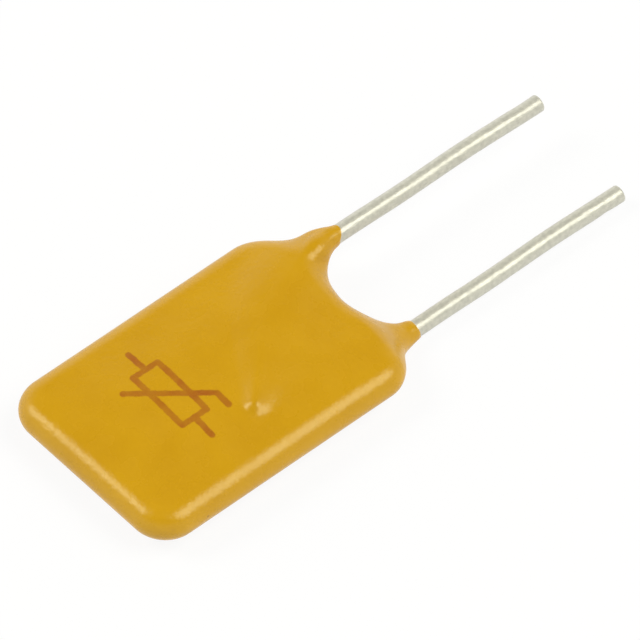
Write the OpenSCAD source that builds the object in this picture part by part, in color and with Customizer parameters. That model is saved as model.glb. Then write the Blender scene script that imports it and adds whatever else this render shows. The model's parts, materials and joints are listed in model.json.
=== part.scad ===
// Resettable fuse: a radial-leaded polymer PTC device in a dipped coating.
// A thin plate of conductive polymer carries a metal foil on each face. One tinned wire is
// soldered along each foil, and an insulating coating covers all but the wires' free ends.
// Millimetres. The device lies on its back face. +Y runs along the leads to their cut ends,
// and +Z runs up through the front face.

/* [Coated body] */
// Width of the coated body, across the leads
body_w = 10.2; // [9:0.1:13]
// Length of the coated body, without its legs
body_l = 14.55; // [13.5:0.05:18]
// Thickness of the coated body at its middle, away from the wires
body_t = 2.2; // [1.9:0.05:2.5]
// Thickness of the coated body where its rounded edge meets the face
edge_t = 1.65; // [1.4:0.05:1.9]
// Radius of the four corners, seen from the front
corner_r = 1.65; // [1.3:0.05:2.4]
// Width of the rounded edge, from the rim to the face
edge_w = 0.9; // [0.7:0.05:1.3]
// Distance from the rim over which the face swells to its full thickness
crown_w = 4; // [3:0.1:5]
// Coating between the rim and the edge of the plate
rim_cover = 1; // [0.8:0.05:1.3]

/* [Coating on the wires] */
// Length of each leg, from the body's end to where its wire comes out
leg_l = 2.05; // [1.6:0.05:2.6]
// Coating on the wire at the end of a leg
leg_cover = 0.09; // [0.06:0.01:0.15]
// Coating over the wire where it runs under a face
ridge_cover = 0.12; // [0.1:0.01:0.2]
// Half of the width of the ridge over the wire, at the body's end
ridge_w = 3; // [2:0.1:3.4]
// Half of the width of that ridge at the wire's end
ridge_end_w = 1.1; // [0.9:0.05:1.6]
// Reach of the web that fills the notch between the legs
notch_blend = 2.1; // [1.2:0.1:3]
// Reach of the web between a leg and the corner beside it
shoulder_blend = 2.4; // [1.2:0.1:3]

/* [Leads] */
// Diameter of the wire
lead_d = 0.81; // [0.6:0.01:1]
// Distance between the leads, across the body
pitch = 5.1; // [4.6:0.1:5.8]
// Bare length of the lead from the front face
lead_l = 11.1; // [5:0.1:25]
// Further length of the lead from the back face
back_lead_extra = 0.3; // [0:0.1:3]
// Bevel at the cut end of a lead
tip_bevel = 0.08; // [0.03:0.01:0.15]
// Turn of the wire inside the coating
bend_angle = 45; // [36:1:50]
// Radius of that turn, at the wire's axis
bend_r = 9.6; // [8.5:0.1:10.5]
// Straight length of wire after the turn
run_l = 3; // [2.4:0.1:4]
// Tin on the wire, which is lost into the solder along that length
tin_t = 0.01; // [0.008:0.001:0.02]

/* [Plate, foils and solder] */
// Thickness of the polymer plate
plate_t = 0.66; // [0.6:0.01:0.72]
// Thickness of each foil
foil_t = 0.04; // [0.03:0.005:0.06]
// Solder between the foil and the wire
solder_film = 0.05; // [0.04:0.005:0.08]
// Solder beside the wire at its widest, before the fillet starts
solder_lip = 0.06; // [0.04:0.01:0.1]
// Thickness of the solder at the foot of its fillet
solder_foot = 0.05; // [0.03:0.01:0.08]
// Solder beyond the end of the wire
solder_end = 0.5; // [0.3:0.05:0.8]
// Distance along the wire from its turn to the solder
solder_gap = 0.3; // [0.2:0.05:0.6]

/* [Hidden] */
$fn = 48;

lead_r = lead_d / 2;
leg_r = lead_r + leg_cover;
plate_w = body_w - 2 * rim_cover;
plate_l = body_l - 2 * rim_cover;
foil_z = plate_t / 2 + foil_t;
lead_z = foil_z + solder_film + lead_r;
crest_z = lead_z + lead_r + ridge_cover;

// Places along the leads, from the middle of the coated body
exit_y = body_l / 2 + leg_l;
back_lead_l = lead_l + back_lead_extra;
tip_y = exit_y + back_lead_l;
cap_y = exit_y - sqrt(leg_r * leg_r - lead_r * lead_r);
bend_end_y = exit_y - bend_r * sin(bend_angle);
run_end_y = bend_end_y - run_l * cos(bend_angle);

// Length by which the straight run starts inside the turn
run_lap = 0.2;

// Middle of the whole length, and the height of the body's middle above what it rests on: the
// ridge of its back face, that face itself or the leg on the back wire
middle_y = (tip_y - body_l / 2) / 2;
rest_z = max(crest_z, body_t / 2, lead_z + leg_r);

// Solder fillet beside the wire
solder_top = solder_film + lead_r;
fillet_r = solder_top - solder_foot;
solder_w = 2 * (lead_r + solder_lip + fillet_r);

// Fineness of the coating's skin
edge_steps = 6;
face_steps = 6;
body_steps = 18;
root_steps = 5;
leg_steps = 9;
cap_steps = 10;
foot_steps = 4;
corner_steps = 8;
halvings = 24;
// Largest share of a spoke that the rings of the rounded edge take
edge_share = 0.8;

function mix(a, b, t) = a + (b - a) * t;
function limit(v, low, high) = max(low, min(high, v));
function ease(t) = let (c = limit(t, 0, 1)) c * c * (3 - 2 * c);
function soft_min(a, b, reach) =
    let (h = max(reach - abs(a - b), 0) / reach)
    min(a, b) - h * h * reach / 4;

// Distance of the wire's axis from the middle plane, where the wire passes y
function wire_x(y) =
    let (drop = limit(exit_y - y, 0, exit_y - bend_end_y))
    pitch / 2 - bend_r + sqrt(bend_r * bend_r - drop * drop);

// Distance in plan from the front wire's axis
function wire_gap(x, y) =
    let (
        across = [x + wire_x(bend_end_y), y - bend_end_y],
        along = across * [sin(bend_angle), -cos(bend_angle)],
        end = limit(along, 0, run_l),
        on_run = norm(across - end * [sin(bend_angle), -cos(bend_angle)]),
        centre = [bend_r - pitch / 2, exit_y],
        on_bend = abs(norm([x, y] - centre) - bend_r)
    )
    y > exit_y ? abs(x + pitch / 2) : along > 0 ? on_run : on_bend;

// Distance in plan from the rim, less than 0 inside: the body, the legs, and both with their webs
function body_rim(x, y) =
    let (
        qx = abs(x) - body_w / 2 + corner_r,
        qy = abs(y) - body_l / 2 + corner_r
    )
    norm([max(qx, 0), max(qy, 0)]) + min(max(qx, qy), 0) - corner_r;
function leg_rim(x, y) =
    let (on_leg = limit(y, body_l / 2 - 2 * edge_w, cap_y))
    norm([x - wire_x(on_leg), y - on_leg]) - leg_r;
function rim(x, y) =
    let (
        beside = (abs(x) - wire_x(y)) / leg_r,
        reach = mix(notch_blend, shoulder_blend, ease((beside + 1) / 2))
    )
    soft_min(body_rim(x, y), leg_rim(abs(x), y), reach);

// Share of the way from the body, 0, to the end of a leg, 1
function leg_share(y) = ease((y - body_l / 2 + edge_w / 2) / (cap_y - body_l / 2 + edge_w / 2));

// Height of the rim: level on the body, and rising or falling to the wire along each leg
function rim_z(x, y) = -lead_z * leg_share(y) * sin(90 * limit(2 * x / pitch, -1, 1));

// Half of the width of the ridge, which narrows from the body's end to the wire's end
function ridge_half(y) =
    mix(ridge_w, ridge_end_w, limit((body_l / 2 - y) / (body_l / 2 - run_end_y), 0, 1));

// Height of the front face. The back face is the same one turned over about Y.
function face_z(x, y) =
    let (
        t = leg_share(y),
        inward = min(-rim(x, y) / mix(edge_w, leg_r, t), 1),
        round_off = sqrt(max(1 - (1 - inward) * (1 - inward), 0)),
        swell = (1 + cos(180 * min(wire_gap(x, y) / ridge_half(y), 1))) / 2,
        plain = mix(edge_t, body_t, ease(-rim(x, y) / crown_w)) / 2,
        full = mix(mix(plain, max(crest_z, plain), swell), leg_r, t)
    )
    rim_z(x, y) + full * round_off;

// Spine of the skin in plan: the body's middle line, then on each side an arm out along the leg
// and a short one to the corner at the other end
spine_low = [0, 2 * edge_w - body_l / 2];
spine_high = [0, body_l / 2 - 2 * edge_w];
leg_root = [wire_x(body_l / 2 - edge_w / 2), body_l / 2 - edge_w / 2];
corner = [body_w / 2 - corner_r, corner_r - body_l / 2];
arm_count = root_steps + leg_steps;
side_count = arm_count + foot_steps;
body_spine = [for (i = [0:body_steps]) mix(spine_low, spine_high, i / body_steps)];
side_spine = concat(
    [for (i = [1:root_steps]) mix(spine_high, leg_root, i / root_steps)],
    [for (i = [1:leg_steps])
        let (y = mix(leg_root[1], cap_y, i / leg_steps))
        [wire_x(y), y]],
    [for (i = [1:foot_steps]) mix(spine_low, corner, i / foot_steps)]
);
spine = concat(body_spine, side_spine, [for (p = side_spine) [-p[0], p[1]]]);

// Where each spoke starts on the spine and which way it points, once round the rim
function on_arm(i) = body_steps + i;
function on_foot(i) = i == 0 ? 0 : body_steps + arm_count + i;
function across_spine(i) =
    i <= body_steps ? i : i > body_steps + side_count ? i - side_count : i + side_count;
right_spokes = concat(
    [for (i = [0:arm_count]) [on_arm(i), mix(90, 180, ease(i / arm_count))]],
    [for (i = [1:cap_steps]) [on_arm(arm_count), 180 - 180 * i / cap_steps]],
    [for (i = [arm_count - 1:-1:1]) [on_arm(i), 0]],
    [for (i = [body_steps:-1:0]) [i, 0]],
    [for (i = [1:foot_steps]) [on_foot(i), 0]],
    [for (i = [1:corner_steps]) [on_foot(foot_steps), -90 * i / corner_steps]],
    [for (i = [foot_steps - 1:-1:0]) [on_foot(i), -90]]
);
spokes = concat(
    right_spokes,
    [for (i = [len(right_spokes) - 2:-1:1])
        [across_spine(right_spokes[i][0]), 180 - right_spokes[i][1]]]
);

// Length of a spoke, found by halving the stretch that holds the rim
function spoke_l(from, to, near, far, steps) =
    let (half = (near + far) / 2, at = from + half * to)
    steps == 0 ? half
        : rim(at[0], at[1]) < 0 ? spoke_l(from, to, half, far, steps - 1)
        : spoke_l(from, to, near, half, steps - 1);

// Distance of each ring of the skin from the spine, close together at the rounded edge
function ring_l(length, i) =
    let (edge = min(edge_w, length * edge_share))
    i <= edge_steps ? length - edge * (1 - cos(90 * i / edge_steps))
        : (length - edge) * (1 - (i - edge_steps) / face_steps);

// Skin of the coating. Each spoke gives a rim point and then its rings on the front and the back.
module skin() {
    rings = edge_steps + face_steps - 1;
    per_spoke = 1 + 2 * rings;
    count = len(spokes);
    spoke_points = [for (s = spokes)
        let (
            from = spine[s[0]],
            to = [cos(s[1]), sin(s[1])],
            length = spoke_l(from, to, 0, body_l, halvings),
            edge = from + length * to,
            plan = [for (i = [1:rings]) from + ring_l(length, i) * to]
        )
        each concat(
            [[edge[0], edge[1], rim_z(edge[0], edge[1])]],
            [for (p = plan) [p[0], p[1], face_z(p[0], p[1])]],
            [for (p = plan) [p[0], p[1], -face_z(-p[0], p[1])]]
        )];
    spine_points = concat(
        [for (p = spine) [p[0], p[1], face_z(p[0], p[1])]],
        [for (p = spine) [p[0], p[1], -face_z(-p[0], p[1])]]
    );
    // Point j of spoke i on one side, from 0 at the rim to the spine
    function point(i, j, side) =
        let (s = i % count)
        j > rings ? count * per_spoke + spokes[s][0] + side * len(spine)
            : s * per_spoke + (j == 0 ? 0 : j + side * rings);
    panels = [for (i = [0:count - 1], j = [0:rings], side = [0, 1])
        let (
            a = point(i, j, side),
            b = point(i + 1, j, side),
            c = point(i + 1, j + 1, side),
            d = point(i, j + 1, side)
        )
        each [side == 0 ? [a, b, c] : [c, b, a], side == 0 ? [a, c, d] : [d, c, a]]];
    faces = [for (f = panels) if (f[0] != f[1] && f[1] != f[2] && f[2] != f[0]) f];
    polyhedron(concat(spoke_points, spine_points), faces);
}

// From the middle of the coated body to the frame of the whole part
module placed() {
    translate([0, -middle_y, rest_z]) children();
}

// The back lead and its solder are the front ones turned over about Y
module turned_over() {
    rotate([0, 180, 0]) children();
}

// Straight run of the front wire inside the coating, between two places along it
module along_run(start, end) {
    translate([-wire_x(bend_end_y), bend_end_y, 0]) rotate([90, 0, bend_angle])
        translate([0, 0, start]) linear_extrude(end - start) children();
}

// The front wire, with its bare length
module wire(bare_l) {
    translate([0, 0, lead_z]) {
        translate([-pitch / 2, exit_y, 0]) rotate([-90, 0, 0]) {
            cylinder(h = bare_l - tip_bevel, r = lead_r);
            translate([0, 0, bare_l - tip_bevel])
                cylinder(h = tip_bevel, r1 = lead_r, r2 = lead_r - tip_bevel);
        }
        translate([bend_r - pitch / 2, exit_y, 0]) rotate([0, 0, 180])
            rotate_extrude(angle = bend_angle) translate([bend_r, 0]) circle(r = lead_r);
        along_run(-run_lap, run_l) circle(r = lead_r - tin_t);
    }
}

// Section of the solder across the wire, with a hollow fillet on each side
module solder_section() {
    difference() {
        translate([-solder_w / 2, 0]) square([solder_w, solder_top]);
        for (side = [-1, 1]) translate([side * solder_w / 2, solder_top]) circle(r = fillet_r);
    }
}

module solder_bed() {
    translate([0, 0, foil_z]) along_run(solder_gap, run_l + solder_end) solder_section();
}

module slab(thickness) {
    translate([-plate_w / 2, -plate_l / 2, 0]) cube([plate_w, plate_l, thickness]);
}

module solder() {
    difference() {
        solder_bed();
        wire(lead_l);
    }
}

module epoxy_coating() {
    color([0.80, 0.58, 0.10]) placed() difference() {
        skin();
        translate([0, 0, -foil_z]) slab(2 * foil_z);
        solder_bed();
        wire(lead_l);
        turned_over() solder_bed();
        turned_over() wire(back_lead_l);
    }
}

module ptc_plate() {
    color([0.12, 0.12, 0.13]) placed() translate([0, 0, -plate_t / 2]) slab(plate_t);
}

module front_foil() {
    color([0.72, 0.70, 0.64]) placed() translate([0, 0, plate_t / 2]) slab(foil_t);
}

module back_foil() {
    color([0.72, 0.70, 0.64]) placed() translate([0, 0, -foil_z]) slab(foil_t);
}

module front_solder() {
    color([0.66, 0.67, 0.69]) placed() solder();
}

module back_solder() {
    color([0.66, 0.67, 0.69]) placed() turned_over() solder();
}

module front_lead() {
    color([0.80, 0.80, 0.80]) placed() wire(lead_l);
}

module back_lead() {
    color([0.80, 0.80, 0.80]) placed() turned_over() wire(back_lead_l);
}

epoxy_coating();
ptc_plate();
front_foil();
back_foil();
front_solder();
back_solder();
front_lead();
back_lead();
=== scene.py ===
# Looks of a resettable fuse: its dipped coating, its tinned leads and the studio that it lies in.
import json
import math

import bmesh
import bpy
import numpy as np
from bpy.props import FloatProperty, FloatVectorProperty, PointerProperty
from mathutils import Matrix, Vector


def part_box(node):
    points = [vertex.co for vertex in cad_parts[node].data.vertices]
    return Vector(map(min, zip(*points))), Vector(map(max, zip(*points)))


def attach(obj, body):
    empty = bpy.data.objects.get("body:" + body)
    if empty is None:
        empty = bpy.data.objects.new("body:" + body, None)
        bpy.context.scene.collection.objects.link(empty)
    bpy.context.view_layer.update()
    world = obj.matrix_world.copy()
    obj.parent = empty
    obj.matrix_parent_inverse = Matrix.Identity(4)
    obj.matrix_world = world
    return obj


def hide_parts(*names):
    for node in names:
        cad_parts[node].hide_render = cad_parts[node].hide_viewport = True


bl_info = {
    "name": "Resettable Fuse",
    "version": (1, 0, 0),
    "blender": (4, 5, 0),
    "location": "3D View > Sidebar > Fuse",
    "description": "Builds the coating, leads, inner parts and studio of a resettable fuse",
    "category": "Add Mesh",
}

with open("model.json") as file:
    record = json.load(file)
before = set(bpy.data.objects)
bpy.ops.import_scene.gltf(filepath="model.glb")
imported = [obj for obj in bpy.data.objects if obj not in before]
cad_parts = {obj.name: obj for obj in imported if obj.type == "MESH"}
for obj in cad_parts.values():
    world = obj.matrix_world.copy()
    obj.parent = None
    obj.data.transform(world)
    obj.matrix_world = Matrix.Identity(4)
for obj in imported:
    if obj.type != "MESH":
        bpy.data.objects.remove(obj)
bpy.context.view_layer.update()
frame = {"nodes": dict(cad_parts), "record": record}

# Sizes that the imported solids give, in metres
MM = 0.001
BODY = "root"
mounts = {mount["name"]: mount for mount in frame["record"]["mounts"]}
front_exit = Vector(mounts["front_lead"]["pos_m"])
back_exit = Vector(mounts["back_lead"]["pos_m"])
coat_low, coat_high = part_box("epoxy_coating")
BODY_WIDTH = coat_high.x - coat_low.x
MIDDLE_Z = (coat_low.z + coat_high.z) / 2
RIDGE_TOP = coat_high.z - MIDDLE_Z
PITCH = back_exit.x - front_exit.x
LEAD_RISE = front_exit.z - MIDDLE_Z
LEAD_RADIUS = mounts["front_lead"]["dims"]["r_mm"] * MM

# Fineness of the surfaces, in steps
BODY_STEPS = 90
ROOT_STEPS = 26
LEG_STEPS = 40
CAP_STEPS = 30
FOOT_STEPS = 16
CORNER_STEPS = 30
EDGE_RINGS = 24
FACE_RINGS = 22
RIM_HALVINGS = 40
LEAD_SIDES = 56
LEAD_RINGS = 260
TIP_RINGS = 6

# Distance under which points are joined, in metres
WELD = 1e-7
# Signs of a rectangle's corners, in order round it
CORNERS = ((-1, -1), (1, -1), (1, 1), (-1, 1))

# Spine under the skin: distances from the body's ends to its own ends and to its arms' roots, in
# edge widths, and the largest share of a spoke that the rounded edge takes
SPINE_INSET, ROOT_INSET, EDGE_SHARE = 2, 0.5, 0.8

# Chance forms of the dipped legs: places back from a leg's end and reaches, in metres
LEAN_PLACE, LEAN_REACH = 1 * MM, 0.68 * MM
SWELL_PLACE, SWELL_REACH = 1.35 * MM, 0.65 * MM
SADDLE_PLACE, SADDLE_REACH = 0.8 * MM, 0.45 * MM
# Sleeve on a wire: its blend into the face in metres, and the slope of its flanks
SLEEVE_BLEND, SLEEVE_SLOPE = 0.2 * MM, 4
# Steepness of the web's change from the front leg to the back one
WEB_SLANT = 1.8
# Share of the wire's straight run over which the ridge is lowered
DIP_SHARE = 0.5
# Slow waves of the faces: lengths along X and Y in millimetres, and phase in radians
WAVES = ((4.7, 8.9, 0), (6.8, -5.3, 1.3), (11.2, 3.7, 2.9))

# Bare wire: lengths of its wander across and up, and of its free start, in metres
SWAY_LENGTH, HEAVE_LENGTH, FREE_LENGTH = 9.5 * MM, 7.1 * MM, 3 * MM
# Cut end: dome and drawing-in as shares of the bevel, and the inner ring of the buried end
TIP_DOME, TIP_DRAW, ROOT_RING = 0.25, 0.7, 0.6

# Fineness of the finishes, in patches per metre
SHADE_GRAIN, SHEEN_GRAIN, PEEL_GRAIN = 420, 900, 4200
SPECK_GRAIN, INK_GRAIN = 560, 1500
TIN_GRAIN, FOIL_GRAIN, SOLDER_GRAIN, METAL_DULL_GRAIN = 5200, 1800, 900, 2300
CARBON_GRAIN, CARBON_DULL_GRAIN = 1800, 2600
# Noise between these two values is spread over the whole range of a pattern
NOISE_LOW, NOISE_HIGH = 0.3, 0.7

# Epoxy: refraction, tint of its reflections and range of its roughness
EPOXY_IOR, EPOXY_TINT, EPOXY_ROUGHNESS = 1.5, (1, 1, 0.72, 1), (0.24, 0.31)
# Specks: radii in cells, strength and rarity
SPECK_CORE, SPECK_EDGE, SPECK_STRENGTH, SPECK_RARITY = 0.02, 0.05, 0.8, 0.86
# Ink: shake of its lines in metres, range of its strength, and soft border in half line widths
INK_SHAKE, INK_STRENGTH, INK_CORE, INK_EDGE = 0.045 * MM, (0.62, 0.98), 0.75, 1.15
# Metal: darker patches as a share of its colour, and squeeze of its streaks along the wire
DARK_SHARE, STREAK_SQUEEZE = 0.82, 0.4
# Carbon polymer: two shades of black and range of its roughness
CARBON_DARK, CARBON_LIGHT = (0.006, 0.006, 0.007), (0.014, 0.014, 0.015)
CARBON_ROUGHNESS = (0.5, 0.65)


def length_prop(name, description, millimetres):
    """A length that a user may change, given in millimetres and kept in metres."""
    return FloatProperty(name=name, description=description, default=millimetres * MM,
                         unit="LENGTH", precision=6)


def angle_prop(name, description, degrees):
    """An angle that a user may change, given in degrees."""
    return FloatProperty(name=name, description=description, default=math.radians(degrees),
                         subtype="ANGLE", unit="ROTATION")


def colour_prop(name, description, red, green, blue):
    """A colour that a user may change, as linear red, green and blue."""
    return FloatVectorProperty(name=name, description=description, default=(red, green, blue),
                               subtype="COLOR", min=0, max=1)


class FuseCoatingSettings(bpy.types.PropertyGroup):
    """Sizes and colours of the dipped coating."""

    thickness: length_prop("Thickness", "Thickness of the middle, away from the wires", 2.2)
    edge_thickness: length_prop("Edge Thickness", "Thickness where the edge meets the face", 1.65)
    corner_radius: length_prop("Corner Radius", "Radius of the corners at the far end", 1.7)
    front_corner: length_prop("Front Corner", "Radius of the corner beside the front leg", 2)
    back_corner: length_prop("Back Corner", "Radius of the corner beside the back leg", 1.36)
    edge_width: length_prop("Edge Width", "Width of the rounded edge", 0.9)
    crown_width: length_prop("Crown Width", "Distance from the rim to full thickness", 4)
    leg_length: length_prop("Leg Length", "Length of the coating on each wire", 2.05)
    leg_cover: length_prop("Leg Cover", "Coating on the wire at the end of a leg", 0.035)
    front_trim: length_prop("Front Trim", "Bare wire before the front mount's place", 0.42)
    back_trim: length_prop("Back Trim", "Bare wire before the back mount's place", 0.22)
    rise_start: length_prop("Rise Start", "Start of the legs' rise, before the body's end", 0.48)
    rise_end: length_prop("Rise End", "End of the legs' rise, before a leg's end", 0.5)
    leg_lean: length_prop("Leg Lean", "Bulge of the front leg away from the notch", 0.22)
    leg_swell: length_prop("Leg Swell", "Further coating over the front wire in its leg", 0.19)
    saddle: length_prop("Saddle", "Further coating on the front of the back leg", 0.12)
    body_turn: angle_prop("Body Turn", "Turn of the body against its wires", 0.54)
    end_skew: length_prop("End Skew", "Slant of the body's far end, to each side", 0.22)
    end_trim: length_prop("End Trim", "Shortening of the body's far end", 0.04)
    ridge_width: length_prop("Ridge Width", "Width of the ridge's flanks where a wire enters", 3)
    end_width: length_prop("End Width", "Width of the ridge's inner flank at the wire's end", 0.8)
    far_width: length_prop("Far Width", "Width of the ridge's outer flank at the wire's end", 0.6)
    run_dip: length_prop("Run Dip", "Lowering of the ridge along the wire's straight run", 0.08)
    front_notch: length_prop("Front Notch", "Web between the legs, by the front one", 1.84)
    back_notch: length_prop("Back Notch", "Web between the legs, by the back one", 2.5)
    front_shoulder: length_prop("Front Shoulder", "Web on the front leg's outer side", 2.18)
    back_shoulder: length_prop("Back Shoulder", "Web on the back leg's outer side", 2.33)
    wave_height: length_prop("Wave Height", "Height of the slow waves in the faces", 0.006)
    peel_height: length_prop("Peel Height", "Height of the fine orange peel", 0.016)
    light_colour: colour_prop("Light Ochre", "Lighter shade of the coating", 0.663, 0.357, 0.0076)
    dark_colour: colour_prop("Dark Ochre", "Darker shade of the coating", 0.625, 0.328, 0.0062)
    speck_colour: colour_prop("Speck", "Colour of the dark specks", 0.20, 0.09, 0.012)


class FuseMarkSettings(bpy.types.PropertyGroup):
    """Sizes and colour of the printed thermistor symbol."""

    centre: length_prop("Centre", "Place of the symbol along the body, from its middle", -2)
    offset: length_prop("Offset", "Place of the symbol across the body, from its middle", -0.35)
    box_length: length_prop("Box Length", "Length of the symbol's box", 3.3)
    box_height: length_prop("Box Height", "Height of the symbol's box", 1.35)
    tail_length: length_prop("Tail Length", "Length of the line at each end of the box", 1.15)
    slant_length: length_prop("Slant Length", "Length across the box of its slanted line", 2.5)
    slant_height: length_prop("Slant Height", "Height of that line", 3.1)
    foot_length: length_prop("Foot Length", "Length of the foot of that line", 0.8)
    stroke: length_prop("Stroke", "Width of the printed lines", 0.31)
    colour: colour_prop("Ink", "Colour of the ink", 0.42, 0.125, 0.012)


class FuseLeadSettings(bpy.types.PropertyGroup):
    """Sizes and colour of the tinned leads."""

    bend_angle: angle_prop("Bend Angle", "Turn of the wire inside the coating", 45)
    bend_radius: length_prop("Bend Radius", "Radius of that turn", 9.6)
    run_length: length_prop("Run Length", "Straight length of wire after the turn", 3)
    tip_bevel: length_prop("Tip Bevel", "Bevel at the cut end", 0.08)
    wander: length_prop("Wander", "Sideways wander of the bare wire", 0.022)
    back_drift: length_prop("Back Drift", "Drift of the bare back lead to the middle plane", 0.06)
    colour: colour_prop("Tin", "Colour of the tinned wire", 0.685, 0.675, 0.58)


class FuseStageSettings(bpy.types.PropertyGroup):
    """Camera, lamps and floor."""

    azimuth: angle_prop("Azimuth", "Direction of the camera round the part", 50.32)
    elevation: angle_prop("Elevation", "Height of the camera above the horizon", 52.63)
    distance: length_prop("Distance", "Distance of the camera from the body", 555.6)
    view_width: length_prop("View Width", "Width of the view at the body", 27.284)
    shift_right: length_prop("Shift Right", "Middle of the view, right of the body's", 4.617)
    shift_up: length_prop("Shift Up", "Middle of the view, above the body's", 2.979)
    lamp_colour: colour_prop("Lamps", "Warm white of the softboxes", 1, 0.985, 0.9)
    floor_size: length_prop("Floor Size", "Width of the floor", 6000)
    floor_colour: colour_prop("Floor", "Colour of the floor to the part above it", 0.8, 0.8, 0.8)


# Settings of the scene in use

def coating_settings():
    return bpy.context.scene.fuse_coating


def mark_settings():
    return bpy.context.scene.fuse_mark


def lead_settings():
    return bpy.context.scene.fuse_leads


def stage_settings():
    return bpy.context.scene.fuse_stage


# Shapes

def mix(a, b, t):
    """Straight mix: a where t is 0, b where it is 1."""
    return a + (b - a) * t


def ease(t):
    """Smooth step: 3t² - 2t³ between 0 and 1."""
    t = np.clip(t, 0, 1)
    return t * t * (3 - 2 * t)


def soft_min(a, b, reach):
    """The smaller of two distances, with a parabola of that reach where they are nearly equal."""
    h = np.maximum(reach - np.abs(a - b), 0) / reach
    return np.minimum(a, b) - h * h * reach / 4


def bell(distance, width):
    """Bell curve: exp(-(distance / width)²)."""
    return np.exp(-np.square(distance / width))


class CoatingForm:
    """Plan and heights of the coating, in metres from the middle of the body.

    The rim is a rounded rectangle, slightly turned, joined softly to a capsule on each wire. A
    face rises from the rim by a quarter ellipse, swells gently towards the middle, has a cosine
    ridge over the wire below, and goes over into a round sleeve where that wire leaves.
    """

    def __init__(self):
        coat, leads = coating_settings(), lead_settings()
        self.coat = coat
        self.half_width = BODY_WIDTH / 2
        self.half_length = (front_exit.y - coat.leg_length - coat_low.y) / 2
        self.middle = np.array([0, coat_low.y + self.half_length, MIDDLE_Z])
        self.exit = self.half_length + coat.leg_length
        self.leg_radius = LEAD_RADIUS + coat.leg_cover
        self.cap = self.exit - math.sqrt(self.leg_radius ** 2 - LEAD_RADIUS ** 2)
        self.bend_radius = leads.bend_radius
        self.run_length = leads.run_length
        self.sin = math.sin(leads.bend_angle)
        self.cos = math.cos(leads.bend_angle)
        self.bend_end = self.exit - self.bend_radius * self.sin
        self.run_start = np.array([-self.wire_x(self.bend_end), self.bend_end])
        self.run_end = self.bend_end - self.run_length * self.cos

    def wire_x(self, y):
        """Distance of the wire's axis from the middle plane: a straight line, then an arc."""
        drop = np.clip(self.exit - y, 0, self.exit - self.bend_end)
        return PITCH / 2 - self.bend_radius + np.sqrt(self.bend_radius ** 2 - drop ** 2)

    def beside_wire(self, x, y):
        """Distance in plan from the front wire's axis, and the places along and across its run.

        The axis is the bare line, then an arc, then the straight run.
        """
        from_x, from_y = x - self.run_start[0], y - self.run_start[1]
        along = from_x * self.sin - from_y * self.cos
        across = from_x * self.cos + from_y * self.sin
        on_run = np.hypot(across, along - np.clip(along, 0, self.run_length))
        centre_x = self.bend_radius - PITCH / 2
        on_bend = np.abs(np.hypot(x - centre_x, y - self.exit) - self.bend_radius)
        on_bare = np.abs(x + PITCH / 2)
        inside = np.where(along > 0, on_run, on_bend)
        return np.where(y > self.exit, on_bare, inside), along, across

    def body_rim(self, x, y):
        """Distance from a turned, rounded rectangle with a slanted far end, negative inside.

        Each corner has its own radius, by smooth steps across and along the body.
        """
        coat = self.coat
        to_back = ease(x / self.half_width / 2 + 0.5)
        to_legs = ease(y / self.half_length / 2 + 0.5)
        by_legs = mix(coat.front_corner, coat.back_corner, to_back)
        radius = mix(coat.corner_radius, by_legs, to_legs)
        slant = coat.end_skew * x / self.half_width + coat.end_trim
        qx = np.abs(x + y * math.tan(coat.body_turn)) - self.half_width + radius
        qy = np.abs(y - slant * ease(-y / self.half_length)) - self.half_length + radius
        outside = np.hypot(np.maximum(qx, 0), np.maximum(qy, 0))
        return outside + np.minimum(np.maximum(qx, qy), 0) - radius

    def leg_rim(self, x, y):
        """Distance from the capsule round the wire of the nearer leg.

        The front leg is a second capsule as well, which leans from the notch by a bell curve.
        """
        coat = self.coat
        ahead = y + np.where(x < 0, coat.front_trim, coat.back_trim)
        on_leg = np.clip(ahead, self.half_length - SPINE_INSET * coat.edge_width, self.cap)
        lean = np.where(x < 0, coat.leg_lean * bell(y - self.cap + LEAN_PLACE, LEAN_REACH), 0)
        across, beyond = np.abs(x) - self.wire_x(on_leg), ahead - on_leg
        nearer = np.minimum(np.hypot(across, beyond), np.hypot(across - lean, beyond))
        return nearer - self.leg_radius

    def rim(self, x, y):
        """Distance from the whole rim: a soft minimum makes a web on each side of a leg."""
        coat = self.coat
        beside = (np.abs(x) - self.wire_x(y)) / self.leg_radius
        to_back, outward = ease(WEB_SLANT * x / PITCH + 0.5), ease((beside + 1) / 2)
        reach = mix(mix(coat.front_notch, coat.back_notch, to_back),
                    mix(coat.front_shoulder, coat.back_shoulder, to_back), outward)
        return soft_min(self.body_rim(x, y), self.leg_rim(x, y), reach)

    def leg_share(self, y):
        """Share of the way from the body, 0, to the end of a leg, 1."""
        start, end = self.half_length - self.coat.rise_start, self.cap - self.coat.rise_end
        return ease((y - start) / (end - start))

    def rim_height(self, x, y):
        """Height of the rim: level on the body, and a sine from wire to wire across the legs."""
        return -LEAD_RISE * self.leg_share(y) * np.sin(math.pi / 2 * np.clip(2 * x / PITCH, -1, 1))

    def ridged(self, plain, x, y):
        """A plain height with the ridge over the wire.

        A cosine across the wire mixes the plain height and the ridge's. Its width falls with the
        square of the way to the wire's end, where the two flanks are unlike.
        """
        coat = self.coat
        gap, along, across = self.beside_wire(x, y)
        inward = np.clip((self.half_length - y) / (self.half_length - self.run_end), 0, 1)
        end_width = mix(coat.end_width, coat.far_width, ease(across / coat.end_width / 2 + 0.5))
        width = mix(coat.ridge_width, end_width, inward ** 2)
        swell = (1 + np.cos(math.pi * np.minimum(gap / width, 1))) / 2
        top = RIDGE_TOP - coat.run_dip * ease(along / (DIP_SHARE * self.run_length))
        return mix(plain, top, swell)

    def waves(self, x, y):
        """Slow waves of the coating: the mean of sines across each other."""
        sines = [np.sin(2 * math.pi * (x / across + y / along) / MM + phase)
                 for across, along, phase in WAVES]
        return self.coat.wave_height * sum(sines) / len(WAVES)

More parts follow.
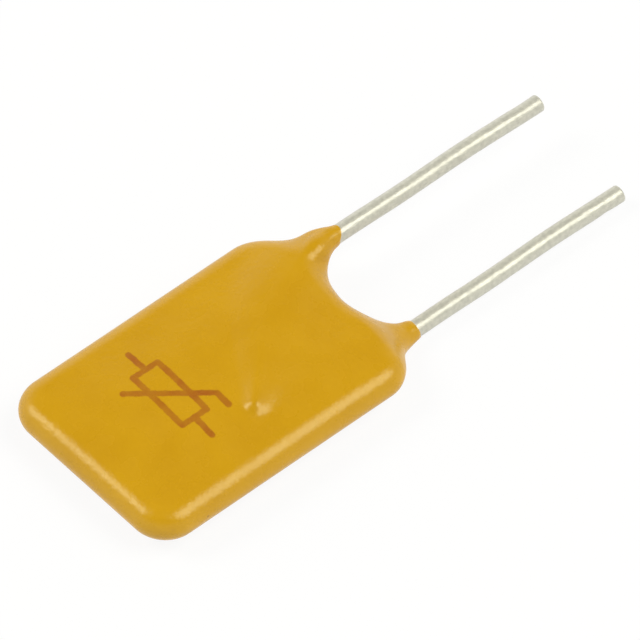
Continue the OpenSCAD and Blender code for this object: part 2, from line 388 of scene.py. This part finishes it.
    def sleeve(self, x, y, swell):
        """Height of the sleeve on a wire: a circle across it, with steep flanks beside it."""
        gap = self.beside_wire(x, y)[0]
        thick = self.leg_radius + swell * bell(y - self.cap + SWELL_PLACE, SWELL_REACH)
        round_top = np.sqrt(np.maximum(np.square(thick) - np.square(gap), 0))
        return LEAD_RISE + np.where(gap < thick, round_top, SLEEVE_SLOPE * (thick - gap))

    def face_height(self, x, y, side):
        """Height of a face over the middle plane: the front for side 1, the back for side -1.

        A quarter ellipse rises from the rim to the crowned and ridged face, and a soft maximum
        joins it to the sleeve. The front has a bell-shaped saddle on the back leg. The back is
        turned over, and is flat where its ridge and leg rest on the floor.
        """
        coat, share = self.coat, self.leg_share(y)
        inward = np.clip(-self.rim(x, y) / mix(coat.edge_width, self.leg_radius, share), 0, 1)
        round_off = np.sqrt(1 - np.square(1 - inward))
        crown_x = ease((self.half_width - np.abs(x)) / coat.crown_width)
        crown_y = ease((self.half_length - np.abs(y)) / coat.crown_width)
        plain = mix(coat.edge_thickness, coat.thickness, crown_x * crown_y) / 2
        on_body = self.ridged(plain, side * x, y) + self.waves(side * x, y) * (1 - share)
        height = self.rim_height(side * x, y) + mix(on_body, self.leg_radius, share) * round_off
        swell = coat.leg_swell if side > 0 else 0
        covered = -soft_min(-height, -self.sleeve(side * x, y, swell), SLEEVE_BLEND)
        saddle = coat.saddle * bell(y - self.cap + SADDLE_PLACE, SADDLE_REACH)
        saddled = covered + saddle * round_off * (x > 0)
        return saddled if side > 0 else -np.minimum(covered, RIDGE_TOP)

    def spokes(self):
        """Starts and angles of the spokes that cross the rim, once round it.

        They start on a spine: the body's middle line, an arm along each leg and a short one to
        each corner at the far end.
        """
        edge = self.coat.edge_width
        low = np.array([0, SPINE_INSET * edge - self.half_length])
        high = -low
        root_y = self.half_length - ROOT_INSET * edge
        root = np.array([self.wire_x(root_y), root_y])
        radius = self.coat.corner_radius
        corner = np.array([self.half_width - radius, radius - self.half_length])
        leg_y = np.linspace(root_y, self.cap, LEG_STEPS + 1)[1:]
        arm = np.vstack([
            mix(high, root, np.linspace(0, 1, ROOT_STEPS + 1)[:, None]),
            np.column_stack([self.wire_x(leg_y), leg_y]),
        ])
        body = mix(high, low, np.linspace(0, 1, BODY_STEPS + 1)[:, None])
        foot = mix(low, corner, np.linspace(0, 1, FOOT_STEPS + 1)[:, None])
        cap_turn = np.linspace(math.pi, 0, CAP_STEPS + 1)[1:]
        corner_turn = np.linspace(0, -math.pi / 2, CORNER_STEPS + 1)[1:]
        parts = [
            (arm, mix(math.pi / 2, math.pi, ease(np.linspace(0, 1, len(arm))))),
            (np.repeat(arm[-1:], CAP_STEPS, 0), cap_turn),
            (arm[-2:0:-1], np.zeros(len(arm) - 2)),
            (body, np.zeros(len(body))),
            (foot[1:], np.zeros(FOOT_STEPS)),
            (np.repeat(foot[-1:], CORNER_STEPS, 0), corner_turn),
            (foot[-2::-1], np.full(FOOT_STEPS, -math.pi / 2)),
        ]
        starts = np.vstack([start for start, turn in parts])
        turns = np.concatenate([turn for start, turn in parts])
        mirrored = starts[-2:0:-1] * [-1, 1]
        return np.vstack([starts, mirrored]), np.concatenate([turns, math.pi - turns[-2:0:-1]])

    def rim_distance(self, starts, ways):
        """Length of each spoke, by halving the stretch that holds the rim."""
        near = np.zeros(len(starts))
        far = np.full(len(starts), 2 * self.half_length)
        for _ in range(RIM_HALVINGS):
            half = (near + far) / 2
            at = starts + half[:, None] * ways
            inside = self.rim(at[:, 0], at[:, 1]) < 0
            near, far = np.where(inside, half, near), np.where(inside, far, half)
        return near

    def skin(self):
        """Points of the skin: a row for each spoke, from the front over the rim to the back."""
        starts, turns = self.spokes()
        ways = np.column_stack([np.cos(turns), np.sin(turns)])
        reach = self.rim_distance(starts, ways)[:, None]
        edge = np.minimum(self.coat.edge_width, EDGE_SHARE * reach)
        outer = reach - edge * (1 - np.cos(np.linspace(0, math.pi / 2, EDGE_RINGS + 1)))
        inner = (reach - edge) * np.linspace(1, 0, FACE_RINGS + 1)[1:]
        rings = np.hstack([outer, inner])
        x = starts[:, :1] + rings * ways[:, :1]
        y = starts[:, 1:] + rings * ways[:, 1:]
        front, back = self.face_height(x, y, 1), self.face_height(x, y, -1)
        front[:, 0] = self.rim_height(x[:, 0], y[:, 0])
        fold = [np.hstack([side[:, ::-1], other[:, 1:]])
                for side, other in ((x, x), (y, y), (front, back))]
        return np.stack(fold, axis=-1) + self.middle


def lead_points(form, bare_length, nicks, sway, drift):
    """Points of a lead from the front face: rings of a round wire along its path.

    The path is a straight run, an arc and the bare length, which wanders by slow sines and drifts
    up. Each nick takes a bell-shaped bite out of the radius, and both ends close on the axis.
    """
    leads = lead_settings()
    arc = leads.bend_radius * leads.bend_angle
    bevel = leads.tip_bevel
    start, tip = -arc - leads.run_length, bare_length - TIP_DOME * bevel
    body = np.linspace(start, tip - bevel, LEAD_RINGS)
    turn = np.linspace(0, math.pi / 2, TIP_RINGS + 1)[1:]
    dome = np.linspace(1, 0, TIP_RINGS + 1)[1:]
    along = np.concatenate([np.full(2, start), body, tip - bevel + bevel * np.sin(turn),
                            tip + TIP_DOME * bevel * (1 - dome ** 2)])
    tip_radius = 1 - TIP_DRAW * bevel / LEAD_RADIUS
    share = np.concatenate([[0, ROOT_RING], np.ones(LEAD_RINGS), mix(tip_radius, 1, np.cos(turn)),
                            tip_radius * dome])
    along, share = along[:, None], share[:, None]
    around = np.linspace(0, 2 * math.pi, LEAD_SIDES, endpoint=False)[None, :]
    radius = LEAD_RADIUS * share * np.ones_like(around)
    for place, angle, depth, reach, width in nicks:
        off = np.angle(np.exp(1j * (around - math.radians(angle))))
        bite = depth * MM * bell(along - place * MM, reach * MM) * bell(off, width)
        radius = radius - bite * share
    turned = np.clip(-along / leads.bend_radius, 0, leads.bend_angle)
    beyond = np.maximum(-along - arc, 0)
    bare = np.maximum(along, 0)
    free = ease(bare / FREE_LENGTH)
    wander_x = free * leads.wander * np.sin(2 * math.pi * bare / SWAY_LENGTH + sway)
    wander_z = free * (leads.wander * np.sin(2 * math.pi * bare / HEAVE_LENGTH + 2 * sway) + drift)
    x = -PITCH / 2 + leads.bend_radius * (1 - np.cos(turned)) + beyond * np.sin(turned) + wander_x
    y = form.exit - leads.bend_radius * np.sin(turned) - beyond * np.cos(turned) + bare
    side = radius * np.cos(around)
    return np.stack([
        x + side * np.cos(turned),
        y + side * np.sin(turned),
        LEAD_RISE + wander_z + radius * np.sin(around),
    ], axis=-1)


def turned_over(points):
    """Half a turn about the body's long axis."""
    return points * [-1, 1, -1]


# Meshes

def grid_object(name, points, material):
    """A closed smooth mesh from a grid of points, whose last row joins its first."""
    rows, columns = points.shape[:2]
    index = np.arange(rows * columns).reshape(rows, columns)
    beyond = np.roll(index, -1, axis=0)
    quads = np.stack([index[:, :-1], beyond[:, :-1], beyond[:, 1:], index[:, 1:]], axis=-1)
    mesh = bpy.data.meshes.new(name)
    mesh.from_pydata(points.reshape(-1, 3).tolist(), [], quads.reshape(-1, 4).tolist())
    welded = bmesh.new()
    welded.from_mesh(mesh)
    bmesh.ops.remove_doubles(welded, verts=welded.verts, dist=WELD)
    bmesh.ops.recalc_face_normals(welded, faces=welded.faces)
    welded.to_mesh(mesh)
    welded.free()
    mesh.shade_smooth()
    mesh.materials.append(material)
    made = bpy.data.objects.new(name, mesh)
    bpy.context.scene.collection.objects.link(made)
    return made


def stand_for(piece, node):
    """Lets a piece ride on the body in place of a solid, and hides that solid."""
    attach(piece, BODY)
    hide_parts(node)


# Materials

def add(tree, kind, inputs=None, **settings):
    """Adds a node, sets its properties, and fills its inputs with values or links."""
    made = tree.nodes.new(kind)
    for key, value in settings.items():
        setattr(made, key, value)
    for key, value in (inputs or {}).items():
        if isinstance(value, bpy.types.NodeSocket):
            tree.links.new(value, made.inputs[key])
        else:
            made.inputs[key].default_value = value
    return made


def math_node(tree, operation, *values):
    """A Math node's output."""
    return add(tree, "ShaderNodeMath", dict(enumerate(values)), operation=operation).outputs[0]


def vector_node(tree, operation, *values):
    """A Vector Math node, by its inputs in order."""
    return add(tree, "ShaderNodeVectorMath", dict(enumerate(values)), operation=operation)


def mix_colour(tree, factor, a, b):
    """A mix of two colours."""
    made = add(tree, "ShaderNodeMix", {0: factor, 6: a, 7: b}, data_type="RGBA")
    return made.outputs[2]


def rgba(colour):
    """A colour with full alpha."""
    return (*colour, 1)


def new_group(name, inputs, outputs):
    """An empty shader group with named sockets: its tree, its input node and its output node."""
    tree = bpy.data.node_groups.new(name, "ShaderNodeTree")
    for socket, kind in inputs.items():
        tree.interface.new_socket(socket, in_out="INPUT", socket_type=kind)
    for socket, kind in outputs.items():
        tree.interface.new_socket(socket, in_out="OUTPUT", socket_type=kind)
    return tree, tree.nodes.new("NodeGroupInput"), tree.nodes.new("NodeGroupOutput")


def mottle_group():
    """Soft patches: noise at a scale, spread between a low and a high value."""
    found = bpy.data.node_groups.get("Mottle")
    if found:
        return found
    floats = dict.fromkeys(("Scale", "Low", "High"), "NodeSocketFloat")
    tree, given, out = new_group("Mottle", {"Vector": "NodeSocketVector", **floats},
                                 {"Value": "NodeSocketFloat"})
    noise = add(tree, "ShaderNodeTexNoise", {
        "Vector": given.outputs["Vector"], "Scale": given.outputs["Scale"], "Detail": 3.0})
    spread = add(tree, "ShaderNodeMapRange", {
        "Value": noise.outputs[0], "From Min": NOISE_LOW, "From Max": NOISE_HIGH,
        "To Min": given.outputs["Low"], "To Max": given.outputs["High"]})
    tree.links.new(spread.outputs[0], out.inputs["Value"])
    return tree


def streak_group():
    """Drawn streaks along Y: noise on coordinates that are squeezed along the wire."""
    found = bpy.data.node_groups.get("Drawn Streaks")
    if found:
        return found
    tree, given, out = new_group(
        "Drawn Streaks", {"Vector": "NodeSocketVector", "Scale": "NodeSocketFloat"},
        {"Height": "NodeSocketFloat"})
    squeezed = vector_node(tree, "MULTIPLY", given.outputs["Vector"], (1, STREAK_SQUEEZE, 1))
    noise = add(tree, "ShaderNodeTexNoise", {
        "Vector": squeezed.outputs[0], "Scale": given.outputs["Scale"], "Detail": 2.0})
    tree.links.new(noise.outputs[0], out.inputs["Height"])
    return tree


def stroke_group():
    """A printed line: 1 within half of its width of the stretch between two points, 0 outside."""
    found = bpy.data.node_groups.get("Ink Stroke")
    if found:
        return found
    vectors = dict.fromkeys(("Vector", "From", "To"), "NodeSocketVector")
    tree, given, out = new_group("Ink Stroke", {**vectors, "Half Width": "NodeSocketFloat"},
                                 {"Mask": "NodeSocketFloat"})
    offset = vector_node(tree, "SUBTRACT", given.outputs["Vector"], given.outputs["From"])
    line = vector_node(tree, "SUBTRACT", given.outputs["To"], given.outputs["From"])
    reach = vector_node(tree, "DOT_PRODUCT", offset.outputs[0], line.outputs[0])
    size = vector_node(tree, "DOT_PRODUCT", line.outputs[0], line.outputs[0])
    share = add(tree, "ShaderNodeMath", {0: reach.outputs["Value"], 1: size.outputs["Value"]},
                operation="DIVIDE", use_clamp=True)
    nearest = add(tree, "ShaderNodeVectorMath", {0: line.outputs[0], "Scale": share.outputs[0]},
                  operation="SCALE")
    gap = vector_node(tree, "DISTANCE", offset.outputs[0], nearest.outputs[0])
    ratio = math_node(tree, "DIVIDE", gap.outputs["Value"], given.outputs["Half Width"])
    mask = add(tree, "ShaderNodeMapRange", {
        "Value": ratio, "From Min": INK_CORE, "From Max": INK_EDGE, "To Min": 1.0, "To Max": 0.0},
        interpolation_type="SMOOTHSTEP")
    tree.links.new(mask.outputs[0], out.inputs["Mask"])
    return tree


def use_group(tree, group, inputs):
    """A group node's first output."""
    return add(tree, "ShaderNodeGroup", inputs, node_tree=group).outputs[0]


def mottle(tree, place, grain, low, high):
    """Soft patches between a low and a high value."""
    inputs = {"Vector": place, "Scale": grain, "Low": low, "High": high}
    return use_group(tree, mottle_group(), inputs)


def new_material(name, **constants):
    """A material with plain values: itself, its tree, its shader and the object coordinates."""
    made = bpy.data.materials.new(name)
    made.use_nodes = True
    tree = made.node_tree
    shader = tree.nodes["Principled BSDF"]
    for key, value in constants.items():
        shader.inputs[key.replace("_", " ")].default_value = value
    place = tree.nodes.new("ShaderNodeTexCoord").outputs["Object"]
    return made, tree, shader, place


def mark_strokes(mark):
    """Lines of the symbol about its middle: a box, two tails and a slanted line with a foot."""
    half_l, half_h = mark.box_length / 2, mark.box_height / 2
    end = half_l + mark.tail_length
    low = Vector((-mark.slant_length / 2, -mark.slant_height / 2, 0))
    corners = [Vector((sx * half_l, sy * half_h, 0)) for sx, sy in CORNERS]
    strokes = [(corners[i], corners[(i + 1) % 4]) for i in range(4)]
    strokes += [(Vector((side * half_l, 0, 0)), Vector((side * end, 0, 0))) for side in (-1, 1)]
    strokes += [(low, -low), (low, low - Vector((mark.foot_length, 0, 0)))]
    return strokes


def mark_mask(tree, place, middle_y):
    """Mask of the ink on the front face, with slightly ragged lines of uneven strength."""
    mark = mark_settings()
    local = add(tree, "ShaderNodeMapping", {
        "Vector": place, "Location": (mark.offset, middle_y + mark.centre, 0),
        "Rotation": (0, 0, math.pi)}, vector_type="TEXTURE")
    flat = vector_node(tree, "MULTIPLY", local.outputs[0], (1, 1, 0))
    rough = add(tree, "ShaderNodeTexNoise", {"Vector": place, "Scale": PEEL_GRAIN, "Detail": 2.0})
    shake = vector_node(tree, "MULTIPLY_ADD", rough.outputs["Color"],
                        (2 * INK_SHAKE, 2 * INK_SHAKE, 0), (-INK_SHAKE, -INK_SHAKE, 0))
    shaken = vector_node(tree, "ADD", flat.outputs[0], shake.outputs[0]).outputs[0]
    ink = 0.0
    for start, end in mark_strokes(mark):
        line = use_group(tree, stroke_group(), {
            "Vector": shaken, "From": start, "To": end, "Half Width": mark.stroke / 2})
        ink = math_node(tree, "MAXIMUM", line, ink)
    height = add(tree, "ShaderNodeSeparateXYZ", {0: place}).outputs["Z"]
    on_front = math_node(tree, "GREATER_THAN", height, MIDDLE_Z)
    strength = mottle(tree, place, INK_GRAIN, *INK_STRENGTH)
    return math_node(tree, "MULTIPLY", math_node(tree, "MULTIPLY", ink, on_front), strength)


def coating_material(middle_y):
    """Ochre epoxy: faint patches, a few dark specks, the printed symbol and orange peel."""
    coat = coating_settings()
    made, tree, shader, place = new_material(
        "Ochre Epoxy", IOR=EPOXY_IOR, Specular_Tint=EPOXY_TINT)
    patches = mottle(tree, place, SHADE_GRAIN, 0, 1)
    shade = mix_colour(tree, patches, rgba(coat.dark_colour), rgba(coat.light_colour))
    cells = add(tree, "ShaderNodeTexVoronoi", {"Vector": place, "Scale": SPECK_GRAIN})
    speck = add(tree, "ShaderNodeMapRange", {
        "Value": cells.outputs["Distance"], "From Min": SPECK_CORE, "From Max": SPECK_EDGE,
        "To Min": SPECK_STRENGTH, "To Max": 0})
    chance = add(tree, "ShaderNodeSeparateColor", {0: cells.outputs["Color"]}).outputs[0]
    rare = math_node(tree, "GREATER_THAN", chance, SPECK_RARITY)
    specks = math_node(tree, "MULTIPLY", speck.outputs[0], rare)
    specked = mix_colour(tree, specks, shade, rgba(coat.speck_colour))
    ink = mark_mask(tree, place, middle_y)
    printed = mix_colour(tree, ink, specked, rgba(mark_settings().colour))
    tree.links.new(printed, shader.inputs["Base Color"])
    sheen = mottle(tree, place, SHEEN_GRAIN, *EPOXY_ROUGHNESS)
    tree.links.new(sheen, shader.inputs["Roughness"])
    peel = add(tree, "ShaderNodeTexNoise", {"Vector": place, "Scale": PEEL_GRAIN, "Detail": 2.0})
    bump = add(tree, "ShaderNodeBump", {
        "Height": peel.outputs[0], "Distance": coat.peel_height, "Strength": 1.0})
    tree.links.new(bump.outputs[0], shader.inputs["Normal"])
    return made


def metal_material(name, colour, metallic, roughness, grain, height):
    """Bare metal: patches of colour and roughness, and drawn streaks of a height in metres."""
    made, tree, shader, place = new_material(name, Metallic=metallic)
    patches = mottle(tree, place, grain, 0, 1)
    darker = [DARK_SHARE * part for part in colour]
    tint = mix_colour(tree, patches, rgba(darker), rgba(colour))
    tree.links.new(tint, shader.inputs["Base Color"])
    uneven = mottle(tree, place, METAL_DULL_GRAIN, *roughness)
    tree.links.new(uneven, shader.inputs["Roughness"])
    lines = use_group(tree, streak_group(), {"Vector": place, "Scale": grain})
    bump = add(tree, "ShaderNodeBump", {"Height": lines, "Distance": height, "Strength": 1.0})
    tree.links.new(bump.outputs[0], shader.inputs["Normal"])
    return made


def polymer_material():
    """Black carbon-filled polymer: patches of shade and of roughness."""
    made, tree, shader, place = new_material("Carbon Polymer")
    patches = mottle(tree, place, CARBON_GRAIN, 0, 1)
    shade = mix_colour(tree, patches, rgba(CARBON_DARK), rgba(CARBON_LIGHT))
    tree.links.new(shade, shader.inputs["Base Color"])
    uneven = mottle(tree, place, CARBON_DULL_GRAIN, *CARBON_ROUGHNESS)
    tree.links.new(uneven, shader.inputs["Roughness"])
    return made


# Operators

class FUSE_OT_coating(bpy.types.Operator):
    """Builds the dipped coating with its legs, ridges and printed symbol"""

    bl_idname = "fuse.coating"
    bl_label = "Coating"

    def execute(self, context):
        form = CoatingForm()
        piece = grid_object("coating", form.skin(), coating_material(form.middle[1]))
        stand_for(piece, "epoxy_coating")
        return {"FINISHED"}


class FUSE_OT_leads(bpy.types.Operator):
    """Builds the two tinned leads with their nicks and cut ends"""

    bl_idname = "fuse.leads"
    bl_label = "Leads"

    # Nicks of each lead: place along it in mm, angle round it in degrees, depth and reach in mm,
    # and width in radians
    front_nicks = ((3.9, 100, 0.016, 0.22, 0.8), (5.6, 60, 0.012, 0.3, 0.7),
                   (8.4, 130, 0.01, 0.6, 0.9), (10.2, 120, 0.02, 0.5, 1.0))
    back_nicks = ((2.9, 70, 0.012, 0.35, 0.7), (4.9, 110, 0.014, 0.3, 0.8),
                  (7.2, 60, 0.01, 0.5, 0.8), (10.3, 120, 0.035, 0.3, 1.0))
    # Phase of each lead's wander, in radians
    front_sway, back_sway = 0.6, 2.4

    def execute(self, context):
        form, leads = CoatingForm(), lead_settings()
        tin = metal_material("Tinned Wire", leads.colour, metallic=0.2, roughness=(0.28, 0.38),
                             grain=TIN_GRAIN, height=0.02 * MM)
        front_length = mounts["front_lead"]["dims"]["length_mm"] * MM + leads.tip_bevel
        back_length = mounts["back_lead"]["dims"]["length_mm"] * MM + leads.tip_bevel
        front = lead_points(form, front_length, self.front_nicks, self.front_sway, 0)
        back = turned_over(
            lead_points(form, back_length, self.back_nicks, self.back_sway, -leads.back_drift))
        for name, points in (("front_lead", front), ("back_lead", back)):
            rings = np.swapaxes(points + form.middle, 0, 1)
            piece = grid_object(f"tinned_{name}", rings, tin)
            stand_for(piece, name)
        return {"FINISHED"}


class FUSE_OT_inner_parts(bpy.types.Operator):
    """Gives the sealed plate, foils and solder their finishes"""

    bl_idname = "fuse.inner_parts"
    bl_label = "Inner Parts"

    def execute(self, context):
        foil = metal_material("Nickel Foil", (0.52, 0.49, 0.43), metallic=1, roughness=(0.38, 0.5),
                              grain=FOIL_GRAIN, height=0.002 * MM)
        solder = metal_material("Solder", (0.62, 0.62, 0.63), metallic=1, roughness=(0.25, 0.42),
                                grain=SOLDER_GRAIN, height=0.002 * MM)
        finishes = {
            "ptc_plate": polymer_material(),
            "front_foil": foil,
            "back_foil": foil,
            "front_solder": solder,
            "back_solder": solder,
        }
        for node, finish in finishes.items():
            materials = frame["nodes"][node].data.materials
            materials.clear()
            materials.append(finish)
        return {"FINISHED"}


class FUSE_OT_stage(bpy.types.Operator):
    """Sets the floor, the lamps, the surroundings and the camera"""

    bl_idname = "fuse.stage"
    bl_label = "Stage"

    # Softboxes: direction from the part, width and height in metres at a metre, and brightness
    softboxes = {
        "right_box": ((0.412, 0.388, 0.825), 0.61, 0.61, 5.2),
        "left_box": ((-0.52, -0.459, 0.72), 0.42, 0.47, 6.5),
    }
    # Brightness of the room: its wall on the -X side, its other walls and its ceiling
    side_wall, other_walls, ceiling = 1.12, 0.86, 0.05
    # Where that wall is brightest, by X, and where the ceiling starts and is darkest, by Z
    side_full, ceiling_start, ceiling_full = -0.9, 0.25, 0.79
    # Share of the floor's brightness that is its own glow, to the camera and in reflections
    glow_share = 0.9

    def floor(self):
        """A pale floor: mostly glowing where it is seen, so it is white with a soft shadow."""
        stage = stage_settings()
        half = stage.floor_size / 2
        mesh = bpy.data.meshes.new("floor")
        corners = [(sx * half, sy * half, 0) for sx, sy in CORNERS]
        mesh.from_pydata(corners, [], [(0, 1, 2, 3)])
        made = bpy.data.materials.new("Pale Floor")
        made.use_nodes = True
        tree = made.node_tree
        tree.nodes.clear()
        rays = tree.nodes.new("ShaderNodeLightPath").outputs
        mirrored = math_node(tree, "MAXIMUM", rays["Is Glossy Ray"], rays["Is Transmission Ray"])
        seen = math_node(tree, "MAXIMUM", rays["Is Camera Ray"], mirrored)
        shade = mix_colour(tree, seen, rgba(stage.floor_colour), (1, 1, 1, 1))
        matt = add(tree, "ShaderNodeBsdfDiffuse", {"Color": shade})
        glow = add(tree, "ShaderNodeEmission", {"Color": (1, 1, 1, 1), "Strength": 1.0})
        share = math_node(tree, "MULTIPLY", seen, self.glow_share)
        both = add(tree, "ShaderNodeMixShader", {0: share, 1: matt.outputs[0], 2: glow.outputs[0]})
        add(tree, "ShaderNodeOutputMaterial", {"Surface": both.outputs[0]})
        mesh.materials.append(made)
        floor = bpy.data.objects.new("floor", mesh)
        bpy.context.scene.collection.objects.link(floor)

    def lamps(self):
        """Softboxes a metre away: the power of each is pi times its area times its brightness."""
        for name, (way, width, height, brightness) in self.softboxes.items():
            lamp = bpy.data.lights.new(name, "AREA")
            lamp.shape = "RECTANGLE"
            lamp.size, lamp.size_y = width, height
            lamp.energy = math.pi * width * height * brightness
            lamp.color = stage_settings().lamp_colour
            made = bpy.data.objects.new(name, lamp)
            made.location = Vector(way).normalized()
            made.rotation_mode = "QUATERNION"
            made.rotation_quaternion = (-Vector(way)).to_track_quat("-Z", "Y")
            bpy.context.scene.collection.objects.link(made)

    def surroundings(self):
        """A pale room: light walls, lighter on one side, and a smooth step to a dark ceiling."""
        world = bpy.data.worlds.new("Pale Room")
        bpy.context.scene.world = world
        world.use_nodes = True
        tree = world.node_tree
        way = tree.nodes.new("ShaderNodeTexCoord").outputs["Generated"]
        east, _, up = add(tree, "ShaderNodeSeparateXYZ", {0: way}).outputs
        wall = add(tree, "ShaderNodeMapRange", {
            "Value": east, "From Min": self.side_full, "From Max": 0,
            "To Min": self.side_wall, "To Max": self.other_walls})
        level = add(tree, "ShaderNodeMapRange", {
            "Value": up, "From Min": self.ceiling_start, "From Max": self.ceiling_full,
            "To Min": wall.outputs[0], "To Max": self.ceiling}, interpolation_type="SMOOTHSTEP")
        tree.links.new(level.outputs[0], tree.nodes["Background"].inputs["Strength"])
        tree.nodes["Background"].inputs["Color"].default_value = (1, 1, 1, 1)

    def camera(self):
        """A long lens from the camera's direction, aimed at the middle of the view."""
        stage = stage_settings()
        turn, rise = stage.azimuth, stage.elevation
        right = Vector((math.cos(turn), math.sin(turn), 0))
        level = math.cos(rise)
        ahead = Vector((-math.sin(turn) * level, math.cos(turn) * level, -math.sin(rise)))
        up = right.cross(ahead)
        target = Vector(CoatingForm().middle) + right * stage.shift_right + up * stage.shift_up
        lens = bpy.data.cameras.new("camera")
        lens.lens = lens.sensor_width * stage.distance / stage.view_width
        made = bpy.data.objects.new("camera", lens)
        made.location = target - ahead * stage.distance
        made.rotation_mode = "QUATERNION"
        made.rotation_quaternion = ahead.to_track_quat("-Z", "Y")
        bpy.context.scene.collection.objects.link(made)
        bpy.context.scene.camera = made

    def execute(self, context):
        self.floor()
        self.lamps()
        self.surroundings()
        self.camera()
        bpy.context.scene.view_settings.view_transform = "Standard"
        return {"FINISHED"}


class FUSE_PT_panel(bpy.types.Panel):
    """Lists the steps that build the fuse"""

    bl_idname = "FUSE_PT_panel"
    bl_label = "Resettable Fuse"
    bl_space_type = "VIEW_3D"
    bl_region_type = "UI"
    bl_category = "Fuse"

    def draw(self, context):
        for step in STEPS:
            self.layout.operator(step.bl_idname)


STEPS = (FUSE_OT_stage, FUSE_OT_coating, FUSE_OT_leads, FUSE_OT_inner_parts)
SETTINGS = {
    "fuse_coating": FuseCoatingSettings,
    "fuse_mark": FuseMarkSettings,
    "fuse_leads": FuseLeadSettings,
    "fuse_stage": FuseStageSettings,
}
CLASSES = (*SETTINGS.values(), *STEPS, FUSE_PT_panel)


def register():
    """Adds the settings, the steps and the panel to Blender."""
    for item in CLASSES:
        bpy.utils.register_class(item)
    for name, group in SETTINGS.items():
        setattr(bpy.types.Scene, name, PointerProperty(type=group))


def unregister():
    """Takes them out again, in reverse."""
    for name in SETTINGS:
        delattr(bpy.types.Scene, name)
    for item in reversed(CLASSES):
        bpy.utils.unregister_class(item)


def main():
    """Builds the fuse on its stage."""
    register()
    bpy.ops.fuse.stage()
    bpy.ops.fuse.coating()
    bpy.ops.fuse.leads()
    bpy.ops.fuse.inner_parts()


if __name__ == "__main__":
    main()
